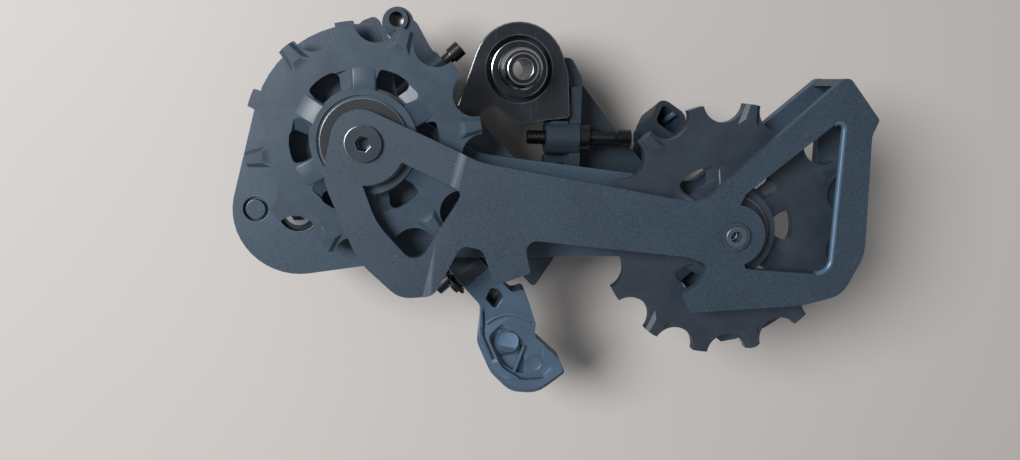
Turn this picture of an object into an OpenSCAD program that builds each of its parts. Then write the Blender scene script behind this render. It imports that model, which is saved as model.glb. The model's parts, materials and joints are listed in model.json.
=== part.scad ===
// Rear bicycle derailleur with a long cage, two toothed pulleys and a damped cage pivot.
// Millimetres, Z up. The origin is where the hanger bolt's axis meets the hanger seat.
// Z points inboard to the wheel, X to the rear and Y up along the seat.

/* [Pulleys] */
// Pitch of the chain
chain_pitch = 12.7; // [12.5:0.1:12.9]
// Teeth on the guide pulley
guide_teeth = 12; // [12:2:12]
// Teeth on the tension pulley
tension_teeth = 14; // [14:2:14]
// Height of a tooth tip over the pitch circle
tooth_rise = 1.9; // [1.4:0.1:2.3]
// Radius of the round seat between two teeth
seat_r = 5; // [4.6:0.1:5.2]
// Thickness of the pulley web and the narrow teeth
web_t = 2.4; // [2:0.1:2.6]
// Thickness over a wide tooth
wide_t = 4.1; // [3.4:0.1:4.4]
// Radius of the pulley bearings
bearing_r = 8; // [7.5:0.1:8.5]
// Width of the guide pulley hub
guide_hub_w = 5.2; // [5:0.1:5.4]
// Width of the tension pulley hub
tension_hub_w = 7; // [6:0.1:8]
// Thickness of a dust cap
cap_t = 0.5; // [0.4:0.1:0.6]

/* [Cage] */
// Distance between the pulley centres
pulley_span = 87.5; // [84:0.5:92]
// Angle of the cage at rest, from the rearward direction
cage_angle = -13.5; // [-16:0.5:-11]
// Guide pulley centre in front of the hanger bolt
guide_ahead = 36.1; // [35:0.1:38]
// Guide pulley centre below the hanger bolt
guide_below = 16.9; // [16:0.1:18]
// Chain line over the hanger seat
chain_z = 13; // [12.5:0.1:14]
// Chain line to each plate
plate_gap = 5.2; // [4.9:0.1:5.6]
// Thickness of the inner plate
inner_t = 1.9; // [1.6:0.1:2.2]
// Thickness of the outer plate
outer_t = 2.4; // [2:0.1:2.6]
// Step of the inner plate down to the guide pulley
joggle = 1.7; // [1.5:0.1:1.7]
// Step line behind the guide pulley centre
joggle_at = 21.5; // [20:0.5:23]
// Cage pivot in front of the guide pulley, along the cage
pivot_ahead = 11.9; // [11:0.1:13]
// Cage pivot below the guide pulley, across the cage
pivot_below = 20.4; // [19.5:0.1:21]
// Radius of the outer plate round the cage pivot
lobe_r = 15; // [14:0.5:16]
// Swing of the cage away from rest
cage_swing = 135; // [125:1:140]
// Radius of the pulley bolts
bolt_r = 2.5; // [2.3:0.1:2.7]
// Radius of the sleeves that the pulley bearings run on
sleeve_r = 4; // [3.6:0.1:4.4]

/* [Parallelogram] */
// Direction of the four link pins, from the rearward direction
pin_angle = 42; // [41:0.5:43]
// Length of a link between its pins
link_len = 46; // [44.5:0.5:47]
// Slope of the links at rest
link_drop = 15; // [13:0.5:16]
// Distance between the inner and the outer pin
pin_gap = 11.5; // [11:0.1:12]
// Radius of a link pin
pin_r = 2; // [1.8:0.1:2.2]
// Radius of a link eye
ear_r = 4.2; // [3.9:0.1:4.3]
// Width of a link side along the pins
ear_w = 4.5; // [4:0.1:4.8]
// Upper face of the links along the pin direction
link_top = -15; // [-16:0.1:-14.5]
// Length of a knuckle barrel between the link sides
barrel_len = 17.5; // [17:0.5:18]
// Inner pin of the mount knuckle, behind the hanger bolt and across the pins
mount_pin_back = 30; // [29.5:0.5:31]
// Depth of that pin under the hanger seat
mount_pin_deep = 1.5; // [1.2:0.1:2]

/* [Knuckles] */
// Radius of the damper housing
housing_r = 15.1; // [14.8:0.1:15.3]
// Wall of the damper housing
housing_wall = 3; // [2.8:0.1:3.2]
// Radius of the cage axle
axle_r = 5; // [4.6:0.1:5.2]
// Radius of the hanger bolt's thread
thread_r = 4.95; // [4.8:0.05:5]
// Length of thread past the hanger seat
thread_len = 8; // [7:0.5:9]
// Radius of the hanger bolt's shank
shank_r = 5.5; // [5.3:0.1:5.8]
// Thickness of the mount knuckle at the hanger bolt
eye_t = 12.6; // [12:0.1:13.2]
// Radius of the mount knuckle at the hanger bolt
eye_r = 10.6; // [10:0.1:11]
// Radius of the body-angle screw
b_screw_r = 1.95; // [1.8:0.05:2.1]
// Radius of the limit screws
limit_r = 1.45; // [1.3:0.05:1.6]
// Bore of the cable housing stop
stop_bore_r = 2.8; // [2.5:0.1:3]

/* [Clearances] */
// Radial clearance of a pin or shaft that turns
run_fit = 0.05; // [0.04:0.01:0.08]
// Gap between parts that pass each other
pass_gap = 0.5; // [0.4:0.05:0.6]

/* [Hidden] */
$fn = 64;
CORNER_STEP = 15;
REACH = 400;
CHARCOAL = "#3b4148";
SLATE = "#4c545d";
BLACK = "#17181a";
STEEL = "#b4b8bc";
PLASTIC = "#454b54";
FIN_GREY = "#65707c";
RUBBER = "#202022";

// Pitch circle of a pulley, and the circle through its tooth tips
function pitch_r(teeth) = chain_pitch / (2 * sin(180 / teeth));
function tip_r(teeth) = pitch_r(teeth) + tooth_rise;
// How far past the pitch circle the centre of a tooth seat lies
seat_deep = 2.6;
seat_out = seat_r - seat_deep;

// Cage frame: origin at the guide pulley on the chain line, X to the tension pulley
pivot_in_cage = [-pivot_ahead, -pivot_below];
guide_at = [-guide_ahead, -guide_below];
pivot_at = guide_at + turned(pivot_in_cage, cage_angle);
// Levels in the cage frame
outer_top = -plate_gap;
outer_low = -plate_gap - outer_t;
inner_low = plate_gap;
inner_top = plate_gap + inner_t;
guide_low = plate_gap - joggle;
guide_top = guide_low + inner_t;
cage_low_z = chain_z + outer_low;
knuckle_top_z = cage_low_z - 0.8;

// Pin frame: X along the pins, Y from the mount pins to the cage knuckle's pins
mount_pin_y = -mount_pin_back;
cage_pin_y = mount_pin_y + link_len * cos(link_drop);
mount_in_z = -mount_pin_deep;
mount_out_z = mount_in_z - pin_gap;
cage_in_z = mount_in_z - link_len * sin(link_drop);
cage_out_z = cage_in_z - pin_gap;
barrel_top = link_top - ear_w - pass_gap;
barrel_low = barrel_top - barrel_len;
pivot_in_pins = turned(pivot_at, -pin_angle);
// The lower link side fills the room between the barrels and the damper housing
housing_gap = 0.59;
link_low_top = barrel_low - pass_gap;
link_low = pivot_in_pins[0] + housing_r + housing_gap;
low_ear_w = link_low_top - link_low;

// Hanger plate: round edge about the bolt, then a stop tab at its lower front
plate_edge_r = 11.3;
plate_edge_from = 20;
plate_edge_to = 160;
plate_tab = [[-15.2, -9.4, 1.2], [-13.4, -11.4, 0.8], [-9.8, -11.4, 0.8], [-7.6, -8.8, 2], [-4.4, -10, 2],
             [0.6, -13.6, 1], [7.3, -12.2, 1], [12.9, -11.6, 1], [12.2, -1, 4]];

function turned(p, a) = [p[0] * cos(a) - p[1] * sin(a), p[0] * sin(a) + p[1] * cos(a)];
function unit(v) = v / norm(v);
function flat(p) = [p[0], p[1]];
function polar(r, a) = r * [cos(a), sin(a)];
function moved(v, d) = [for (p = v) [p[0] + d[0], p[1] + d[1], p[2]]];
// Points along an arc about c, with no rounding of their own
function arc(c, r, a0, a1, n) =
    [for (i = [0:n]) let (p = c + polar(r, a0 + (a1 - a0) * i / n)) [p[0], p[1], 0]];
// Points of one corner b between a and c, rounded to radius r
function corner(a, b, c, r) =
    let (u = unit(a - b), v = unit(c - b), half = acos(max(-1, min(1, u * v))) / 2)
    r == 0 || half > 89 ? [b] :
    let (m = b + unit(u + v) * r / sin(half),
         s = b + u * r / tan(half) - m,
         e = b + v * r / tan(half) - m,
         a0 = atan2(s[1], s[0]),
         raw = atan2(e[1], e[0]) - a0,
         da = raw > 180 ? raw - 360 : raw < -180 ? raw + 360 : raw,
         n = max(2, ceil(abs(da) / CORNER_STEP)))
    [for (i = [0:n]) m + polar(r, a0 + da * i / n)];
// Outline from corners [x, y, radius]
function rounded(v) =
    let (n = len(v))
    [for (i = [0:n - 1]) each corner(flat(v[(i + n - 1) % n]), flat(v[i]), flat(v[(i + 1) % n]), v[i][2])];

module slab(v, z0, z1) translate([0, 0, z0]) linear_extrude(z1 - z0) polygon(rounded(v));
module disc(p, r, z0, z1) translate([p[0], p[1], z0]) cylinder(h = z1 - z0, r = r);
module ring(p, r_in, r_out, z0, z1) difference() {
    disc(p, r_out, z0, z1);
    disc(p, r_in, z0 - 1, z1 + 1);
}
// Hexagon socket of key size w
module hex(p, w, z0, z1) translate([p[0], p[1], z0]) cylinder(h = z1 - z0, r = w / sqrt(3), $fn = 6);
// Rod along X at height z
module rod(x0, x1, y, z, r) translate([x0, y, z]) rotate([0, 90, 0]) cylinder(h = x1 - x0, r = r);
// Upright profile in Y and Z, drawn out along X
module along_x(x0, x1) translate([x0, 0, 0]) rotate([90, 0, 90]) linear_extrude(x1 - x0) children();
module in_cage() translate([guide_at[0], guide_at[1], chain_z]) rotate([0, 0, cage_angle]) children();
module in_pins() rotate([0, 0, pin_angle]) children();

// Tube of radius w along the points of a path, closed at both ends
module tube(path, w, sides = 6) {
    n = len(path);
    function along(i) = unit(path[min(i + 1, n - 1)] - path[max(i - 1, 0)]);
    function side(i) = unit(cross(along(i), [0.31, 0.17, 0.93]));
    rings = [for (i = [0:n - 1]) let (u = side(i), v = cross(along(i), u))
        for (k = [0:sides - 1]) path[i] + w * (u * cos(k * 360 / sides) + v * sin(k * 360 / sides))];
    walls = [for (i = [0:n - 2], k = [0:sides - 1])
        let (a = i * sides + k, b = i * sides + (k + 1) % sides)
        each [[a, b, a + sides], [b, b + sides, a + sides]]];
    first = [for (k = [1:sides - 2]) [0, k + 1, k]];
    last = [for (k = [1:sides - 2]) (n - 1) * sides * [1, 1, 1] + [0, k, k + 1]];
    polyhedron(points = rings, faces = [for (f = concat(walls, first, last)) [f[0], f[2], f[1]]]);
}
// Least clear gap between turns of a coil's path that are over half a turn apart
function least_gap(path, w) =
    min([for (i = [0:len(path) - 1], j = [i + 6:1:len(path) - 1]) norm(path[i] - path[j])]) - 2 * w;

/* Pulleys */

module tooth_blank(teeth, t) difference() {
    cylinder(h = t, r = tip_r(teeth), center = true, $fn = 96);
    for (i = [0:teeth - 1])
        rotate(360 / teeth * (i + 0.5))
            translate([pitch_r(teeth) + seat_out, 0, 0])
                cylinder(h = t + 2, r = seat_r, center = true);
}

// Wedge that holds one wide tooth: broad at the root, narrow at the tip
wedge_deep = 3.6;
wedge_root_half = 2.6;
wedge_tip_half = 1.5;
wedge_round = 0.6;
module wide_wedge(teeth) {
    root = pitch_r(teeth) - wedge_deep;
    tip = tip_r(teeth) + 1;
    linear_extrude(wide_t, center = true)
        polygon(rounded([[root, -wedge_root_half, wedge_round], [tip, -wedge_tip_half, 0],
                         [tip, wedge_tip_half, 0], [root, wedge_root_half, wedge_round]]));
}

function at_polar(r, a, round) = [polar(r, a)[0], polar(r, a)[1], round];
// Fan opening between two spokes, and the slope beside it
module fan_opening(r0, r1, half, t) linear_extrude(t, center = true)
    polygon(rounded([at_polar(r1, -half, 1.4), at_polar(r1 * 1.02, 0, 8), at_polar(r1, half, 1),
                     at_polar(r0, half + 3, 1), at_polar(r0, 0, 4), at_polar(r0, 5 - half, 0.8)]));
module fan_slope_cut(r0, r1, a0, a1, t) linear_extrude(t)
    polygon(rounded([at_polar(r1, a0, 1.2), at_polar(r1, a1, 0),
                     at_polar(r0, a1, 0), at_polar(r0, a0 + 5, 1)]));

// Toothed pulley: six fan openings, each with a slope down to it on both faces
fans = 6;
fan_half = 14;
fan_slope = 25;
fan_edge_deep = 0.8;
fan_low_r = 12.3;
fan_high_r = 16.6;
hub_groove_w = 0.7;
hub_groove_deep = 0.4;
fan_inset = 0.2;
module pulley(teeth, hub_r, hub_w, fan_turn) {
    mid_r = (fan_low_r + fan_high_r) / 2;
    slope_y = mid_r * sin(fan_slope);
    lean = atan(fan_edge_deep / (slope_y - mid_r * sin(fan_half)));
    difference() {
        union() {
            tooth_blank(teeth, web_t);
            for (i = [1:2:teeth - 1])
                intersection() {
                    tooth_blank(teeth, wide_t);
                    rotate(360 / teeth * i) wide_wedge(teeth);
                }
            cylinder(h = hub_w, r = hub_r, center = true);
        }
        cylinder(h = hub_w + 2, r = bearing_r, center = true);
        for (i = [0:fans - 1])
            rotate(fan_turn + 360 / fans * i) {
                fan_opening(fan_low_r, fan_high_r, fan_half, web_t + 2);
                for (face = [0, 1])
                    mirror([0, 0, face])
                        translate([0, -slope_y, web_t / 2])
                            rotate([-lean, 0, 0])
                                translate([0, slope_y, 0])
                                    fan_slope_cut(fan_low_r + fan_inset, fan_high_r - fan_inset,
                                                  -fan_slope, -fan_half / 2, 2 * web_t);
            }
        for (face = [-1, 1])
            translate([0, 0, face * hub_w / 2])
                ring([0, 0], hub_r - cap_rim, hub_r - cap_rim + hub_groove_w,
                     -hub_groove_deep, hub_groove_deep);
    }
}

guide_hub_r = 11.8;
tension_hub_r = 11.2;
cap_rim = 2;
guide_phase = 99 - cage_angle;
tension_phase = 158.9 - cage_angle;
guide_fan_turn = 24.3;
tension_fan_turn = 25.1;
module at_tension() translate([pulley_span, 0, 0]) children();

module guide_pulley() color(PLASTIC)
    in_cage() rotate(guide_phase) pulley(guide_teeth, guide_hub_r, guide_hub_w, guide_fan_turn);
module tension_pulley() color(PLASTIC)
    in_cage() at_tension() rotate(tension_phase)
        pulley(tension_teeth, tension_hub_r, tension_hub_w, tension_fan_turn);

// Bearing in a hub of width w, set in from both faces
bearing_in = 0.2;
module bearing(w) ring([0, 0], sleeve_r + run_fit, bearing_r, bearing_in - w / 2, w / 2 - bearing_in);
module guide_bearing() color(STEEL) in_cage() bearing(guide_hub_w);
module tension_bearing() color(STEEL) in_cage() at_tension() bearing(tension_hub_w);

// Pair of dust caps on the faces of a hub
module caps(hub_r, hub_w) for (face = [0, 1])
    mirror([0, 0, face]) ring([0, 0], sleeve_r + pass_gap, hub_r - cap_rim, hub_w / 2, hub_w / 2 + cap_t);
module guide_dust_caps() color(SLATE) in_cage() caps(guide_hub_r, guide_hub_w);
module tension_dust_caps() color(SLATE) in_cage() at_tension() caps(tension_hub_r, tension_hub_w);

module guide_sleeve() color(STEEL) in_cage()
    ring([0, 0], bolt_r + run_fit, sleeve_r, outer_top, guide_low);
module tension_sleeve() color(STEEL) in_cage() at_tension()
    ring([0, 0], bolt_r + run_fit, sleeve_r, outer_top, inner_low);

// Pulley bolts: the guide bolt's head lies inboard, the tension bolt's head outboard
bolt_head_r = 4.1;
bolt_head_t = 0.9;
nut_ring_r = 3.3;
nut_ring_t = 0.9;
bolt_key = 3;
bolt_key_deep = 1.6;
bolt_end_out = 0.3;
bolt_end_hole_r = 1.3;
module guide_bolt() color(CHARCOAL) in_cage() difference() {
    union() {
        disc([0, 0], bolt_r, outer_low, guide_top);
        disc([0, 0], bolt_head_r, guide_top, guide_top + bolt_head_t);
    }
    hex([0, 0], bolt_key, guide_top - bolt_key_deep, guide_top + bolt_head_t + 1);
}
module tension_bolt() color(STEEL) in_cage() at_tension() difference() {
    union() {
        disc([0, 0], bolt_r, outer_low, inner_top + nut_ring_t + bolt_end_out);
        disc([0, 0], bolt_head_r, outer_low - bolt_head_t, outer_low);
    }
    hex([0, 0], bolt_key, outer_low - bolt_head_t - 1, outer_low + bolt_key_deep);
    disc([0, 0], bolt_end_hole_r, inner_low, inner_top + nut_ring_t + bolt_end_out + 1);
}

/* Cage plates */

// Upper end of both plates, about the tension pulley's centre
tail_end = [[24.6, 30, 3], [25.1, 34, 0.8], [14.5, 41.7, 1.8]];
inner_tail = concat(
    [[-9.5, -7.4, 4], [-3.9, -8, 1.6], [-4.8, -12.7, 2], [-8, -16.4, 2], [-5.3, -20.3, 2.4],
     [21.5, -12.2, 8], [30.2, -7.6, 6], [32.4, 3, 10]],
    tail_end,
    [[-9.9, 5.4, 6]]);
// Front leg, step notch and chain tab of the inner plate, about the guide pulley's centre
inner_front = [[26, 2.3, 12], [-7.2, 8.7, 6.5], [-7.2, -9.4, 12], [4.6, -26.1, 14], [15.6, -32.6, 6],
               [22.9, -30.3, 5], [26.2, -16.8, 2.3], [31.2, -16.8, 2.3], [35.9, -24.3, 0.6],
               [43.2, -19.5, 0.6], [39.6, -12.3, 2.4]];
// Front window, whose upper left side runs round the guide bolt
front_window = [[0, 0, 0], [9.9, -2.2, 0], [23.9, -5.1, 1.8], [17.6, -24.4, 3],
                [6.6, -16.6, 14], [1.9, -9.2, 1]];
front_window_arc = 9.3;
// Tail window, whose left side runs round the tension bolt
tail_window = [[17.2, 33.3, 1.6], [-0.5, 10, 0.8], [-2, 2, 0], [5, -6.9, 0.8], [26, -3.6, 3.5]];
tail_window_arc = 7.3;
// Guard at the tail end that closes the chain's way, and the bent tip of the chain tab
guard_strip = [[25.1, 34, 0.8], [14.5, 41.7, 1.8], [12.6, 38.7, 0], [14.8, 38.7, 1], [23.2, 33, 0.6],
               [23.5, 31.2, 0], [24.4, 30.6, 0]];
tab_bend = 2.6;
tab_strip = [[35.9, -24.3, 0.6], [43.2, -19.5, 0.6], [42.1, -17.9, 0], [34.8, -22.7, 0]];

// Sheet that steps down to the guide pulley at the joggle line, over a run given per unit of step
joggle_run = 1.3;
module stepped_sheet() {
    half = joggle * joggle_run / 2;
    rotate([90, 0, 0])
        linear_extrude(REACH, center = true)
            polygon([[-REACH / 4, guide_low], [joggle_at - half, guide_low], [joggle_at + half, inner_low],
                     [REACH / 2, inner_low], [REACH / 2, inner_top], [joggle_at + half, inner_top],
                     [joggle_at - half, guide_top], [-REACH / 4, guide_top]]);
}

module inner_cage_plate() color(SLATE) in_cage() {
    to_tail = [pulley_span, 0];
    difference() {
        union() {
            intersection() {
                stepped_sheet();
                slab(concat(inner_front, moved(inner_tail, to_tail)), -REACH / 8, REACH / 8);
            }
            slab(moved(guard_strip, to_tail), outer_top + pass_gap, inner_top);
            slab(tab_strip, inner_low - tab_bend, inner_top);
            disc(to_tail, nut_ring_r, inner_top, inner_top + nut_ring_t);
        }
        difference() {
            slab(front_window, 0, REACH / 8);
            disc([0, 0], front_window_arc, -1, REACH / 8 + 1);
        }
        difference() {
            slab(moved(tail_window, to_tail), inner_low - 1, REACH / 8);
            disc(to_tail, tail_window_arc, 0, REACH / 8 + 1);
        }
        disc([0, 0], bolt_r + run_fit, 0, REACH / 8);
        disc(to_tail, bolt_r + run_fit, 0, REACH / 8);
    }
}

// Outer plate: round the guide pulley and the cage pivot, then back to the tail loop
axle_hole_r = 4.6;
stop_pin_out = [-9.6, -1.6];
stop_pin_in_cage = pivot_in_cage + stop_pin_out;
stop_pin_ring = norm(stop_pin_out);
stop_pin_angle = 180 + atan(stop_pin_out[1] / stop_pin_out[0]) + cage_angle;
stop_pin_r = 2.25;
// Angle from the pin's middle to the end of its groove
stop_room = asin((stop_pin_r + 0.6 * pass_gap) / stop_pin_ring);
stop_collar_r = 2.9;
rim_in = 0.2;
tail_rim_r = tip_r(tension_teeth) - rim_in;
outer_edge = concat(
    arc([0, 0], tip_r(guide_teeth) - rim_in, 99, 180, 12),
    arc(pivot_in_cage, lobe_r, 180, 292, 14),
    [[5.5, -29.7, 12], [27, -22.4, 20]],
    moved([[-16, -11.6, 8], [-3, -16, 8], [4, -25.5, 4]], [pulley_span, 0]),
    arc([pulley_span, 0], tail_rim_r, -70, -14, 8),
    moved(concat([[32.4, 3, 8]], tail_end, [[-9, 9.2, 6]]), [pulley_span, 0]),
    [[26, 3.2, 12], [6, 9, 6], [-1.4, 22.6, 2]]);
outer_window = [[17, 32.4, 1.6], [-1, 9.4, 1], [4, -14, 3], [9.5, -22.5, 3], [18.5, -17, 5], [25.6, 0, 6]];
outer_window_arc = 9;

module outer_cage_plate() color(SLATE) in_cage() difference() {
    slab(outer_edge, outer_low, outer_top);
    difference() {
        slab(moved(outer_window, [pulley_span, 0]), outer_low - 1, outer_top + 1);
        disc([pulley_span, 0], outer_window_arc, outer_low - 2, outer_top + 2);
    }
    disc([0, 0], bolt_r + run_fit, outer_low - 1, outer_top + 1);
    disc([pulley_span, 0], bolt_r + run_fit, outer_low - 1, outer_top + 1);
    disc(pivot_in_cage, axle_hole_r, outer_low - 1, outer_top + 1);
    disc(stop_pin_in_cage, stop_collar_r, outer_low - 1, outer_top + 1);
}

// Stop pin: a collar fills the plate's hole and a thin head stands in it
module stop_pin() color(SLATE) in_cage() {
    disc(stop_pin_in_cage, stop_collar_r, outer_low, outer_low + outer_t / 2);
    disc(stop_pin_in_cage, stop_pin_r, outer_low + outer_t / 2, outer_top);
    disc(stop_pin_in_cage, stop_pin_r, outer_low - stop_groove_deep, outer_low);
}

/* Cage pivot and damper */

stop_groove_deep = 3.4;
cavity_r = housing_r - housing_wall;
cavity_top_z = -1.4;
housing_low_z = -22;
cover_t = 3.2;
axle_low_z = housing_low_z + 1;
clutch_low_z = -20;
clutch_top_z = -11;
// Hub, rollers and band share the room between the axle and the housing wall
damper_room = cavity_r - axle_r;
hub_r = axle_r + 0.28 * damper_room;
roller_r = 0.17 * damper_room;
roller_gap = 0.3;
roller_ring_r = hub_r + roller_r + roller_gap;
band_in_r = roller_ring_r + roller_r + run_fit;

spigot_r = 3.2;
spigot_in = 0.5;
axle_key = 4;
axle_key_deep = 2;
clip_in = 0.2;
seal_w = 1.5;
seal_snug = 0.02;
module cage_axle() color(STEEL) difference() {
    union() {
        disc(pivot_at, axle_r, axle_low_z, cage_low_z);
        disc(pivot_at, spigot_r, cage_low_z, cage_low_z + outer_t - spigot_in);
    }
    hex(pivot_at, axle_key, cage_low_z - axle_key_deep, cage_low_z + outer_t + 1);
}
module axle_clip() color(BLACK)
    ring(pivot_at, spigot_r, axle_hole_r, cage_low_z, cage_low_z + outer_t / 2 - clip_in);
module pivot_seal() color(RUBBER)
    ring(pivot_at, axle_r + seal_snug, axle_r + seal_w, knuckle_top_z + run_fit, cage_low_z);
module clutch_hub() color(STEEL)
    ring(pivot_at, axle_r, hub_r, clutch_low_z, clutch_top_z);
module clutch_rollers() color(STEEL) for (i = [0:7])
    disc(pivot_at + polar(roller_ring_r, i * 45), roller_r, clutch_low_z, clutch_top_z);
module clutch_band() color(CHARCOAL)
    ring(pivot_at, band_in_r, cavity_r, clutch_low_z, clutch_top_z);

// Torsion spring that swings the cage back
cage_wire_r = 0.9;
cage_coil_out = 0.6;
cage_coil_r = (axle_r + cavity_r) / 2 + cage_coil_out;
cage_turns = 3;
cage_coil_gap = 0.15;
cage_coil_z = clutch_top_z + cage_wire_r + cage_coil_gap;
cage_pitch = (cavity_top_z - clutch_top_z - 2 * cage_wire_r - 4 * cage_coil_gap) / cage_turns;
cage_path = [for (i = [0:cage_turns * 8])
    [pivot_at[0] + cage_coil_r * cos(i * 45), pivot_at[1] + cage_coil_r * sin(i * 45),
     cage_coil_z + cage_pitch * i / 8]];
module cage_spring() color(STEEL) tube(cage_path, cage_wire_r);

cover_screw_ring = (housing_r + cavity_r) / 2;
cover_screw_r = 0.9;
cover_screw_len = 6;
cover_head_r = 1.6;
cover_head_t = 1;
cover_key = 1.5;
cover_flat_in = 4;
cover_side = 1.4;
cover_groove_r = 6;
cover_groove_w = 1.2;
cover_groove_deep = 0.6;
function cover_screw_at(i) = pivot_at + polar(cover_screw_ring, 50 + i * 120);
module clutch_cover() color(CHARCOAL) difference() {
    translate([pivot_at[0], pivot_at[1], housing_low_z])
        rotate_extrude()
            polygon(rounded([[0, 0, 0], [0, -cover_t, 0], [housing_r - cover_flat_in, -cover_t, 2],
                             [housing_r, -cover_side, 1], [housing_r, 0, 0]]));
    ring(pivot_at, cover_groove_r, cover_groove_r + cover_groove_w, housing_low_z - cover_t - 1,
         housing_low_z - cover_t + cover_groove_deep);
    for (i = [0:2])
        disc(cover_screw_at(i), cover_screw_r + run_fit, housing_low_z - cover_t - 1, housing_low_z + 1);
}
module cover_screws() color(STEEL) for (i = [0:2])
    difference() {
        union() {
            disc(cover_screw_at(i), cover_screw_r, housing_low_z - cover_t,
                 housing_low_z + cover_screw_len);
            disc(cover_screw_at(i), cover_head_r, housing_low_z - cover_t - cover_head_t,
                 housing_low_z - cover_t + 0.01);
        }
        hex(cover_screw_at(i), cover_key, housing_low_z - cover_t - cover_head_t - 1,
            housing_low_z - cover_t);
    }

// Cage knuckle: damper housing, barrel on two pins, limit screw bosses and the eye arm
knuckle_wall_y = cage_pin_y + ear_r + pass_gap;
knuckle_flank = 9;
knuckle_back_y = knuckle_wall_y + knuckle_flank;
barrel_over = 0.2;
barrel_r = ear_r + barrel_over;
housing_lip = 0.6;
knuckle_edge = [[barrel_top, cage_pin_y, 0], [barrel_top, knuckle_back_y, 4],
                [pivot_in_pins[0] + 11.7, knuckle_back_y + 0.6, 8],
                [pivot_in_pins[0], pivot_in_pins[1] + housing_r - 0.3, 4],
                [pivot_in_pins[0], pivot_in_pins[1] + 6, 0], [pivot_in_pins[0] + 9.7, knuckle_wall_y, 3],
                [barrel_low, knuckle_wall_y, 0], [barrel_low, cage_pin_y, 0]];

// Limit screws: the heads stand clear of the hanger plate, and each can go in and out
limit_in = 1.5;
limit_out = 2;
limit_head_r = 1.95;
limit_head_t = 3.2;
limit_key = 2;
limit_key_deep = 1.2;
limit_clear = 2.25;
limit_y = cage_pin_y - 1.2;
limit_z = cage_in_z + 9.4;
limit_boss_r = 3.4;
limit_bed_len = 11;
plate_flank_a = turned(polar(plate_edge_r, plate_edge_to), -pin_angle);
plate_flank_b = turned(flat(plate_tab[0]), -pin_angle);
function plate_flank_x(y) = plate_flank_b[0] + (y - plate_flank_b[1])
    * (plate_flank_a[0] - plate_flank_b[0]) / (plate_flank_a[1] - plate_flank_b[1]);
high_head_x = plate_flank_x(limit_y - limit_head_r) - limit_head_t - limit_out - limit_clear;
high_screw_len = 16;
high_boss_from = barrel_top - 6;
high_boss_to = high_head_x - limit_in - 0.6;
low_limit_y = cage_pin_y - 7.2;
low_limit_z = limit_z + 1.2;
low_clear = 0.8;
low_head_x = plate_flank_x(low_limit_y - limit_head_r) - limit_head_t - limit_out - low_clear;
low_screw_len = 14;
low_boss_to = low_head_x - limit_in - 0.3;
low_boss_from = low_boss_to - limit_bed_len;
bed_from = barrel_top - limit_bed_len;
limit_bed = [[bed_from, limit_y - 3.6, 2], [barrel_top, limit_y - 3.6, 0], [barrel_top, limit_y + 9, 3],
             [bed_from, limit_y + 9, 3]];
low_bed = [[low_boss_from, low_limit_y - 2.5, 2], [low_boss_to, low_limit_y - 2.5, 1],
           [low_boss_to, limit_y, 0],
           [low_boss_from, limit_y, 0]];

// Eye arm beside the high limit screw, about the end of that screw's boss
arm_from = [high_boss_to, cage_pin_y];
arm_t = 4;
eye_at = arm_from + [-2, 13.8];
eye_shift = [-0.3, -0.8];
eye_out_r = 3.8;
eye_bore_r = 1.7;
eye_rim_r = 2.7;
eye_rim_high = 0.9;
eye_arm = [[-5.5, -3.8, 1.5], [-0.5, -3.8, 1], [-0.3, 3.6, 6], [1.3, 10.6, 2], [-2, 14.6, 0],
           [-5.9, 12.2, 2], [-5.5, 4.6, 6]];
// Lug on the flank of the knuckle, about the top of its inner pin
lug = [[-6, 9.6, 0], [0.2, 9.6, 1], [2.4, 18.8, 1.6], [-2.4, 20.6, 3], [-7, 15.6, 3]];
lug_t = 5;

module pin_stadium(y, z_in, z_out, r) {
    translate([y, z_in]) circle(r);
    translate([y, z_out]) circle(r);
    translate([y - r, z_out]) square([2 * r, z_in - z_out]);
}

module cage_knuckle_body() {
    disc(pivot_at, housing_r, housing_low_z, knuckle_top_z);
    in_pins() {
        along_x(barrel_low, barrel_top) pin_stadium(cage_pin_y, cage_in_z, cage_out_z, barrel_r);
        slab(knuckle_edge, housing_low_z + housing_lip, cage_in_z + ear_r - barrel_over);
        slab(limit_bed, cage_in_z, limit_z + 0.8);
        slab(low_bed, low_limit_z - 3.2, low_limit_z + 0.6);
        rod(high_boss_from, high_boss_to, limit_y, limit_z, limit_boss_r);
        rod(low_boss_from, low_boss_to, low_limit_y, low_limit_z, limit_boss_r - 0.4);
        slab(moved(eye_arm, arm_from), limit_z - arm_t, limit_z);
        disc(eye_at + eye_shift, eye_out_r, limit_z - arm_t - 0.4, limit_z);
        ring(eye_at, eye_bore_r + 0.1, eye_rim_r, limit_z - 1, limit_z + eye_rim_high);
        slab(moved(lug, [barrel_top, cage_pin_y]), cage_in_z - 1 - lug_t, cage_in_z - 1);
    }
}

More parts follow.
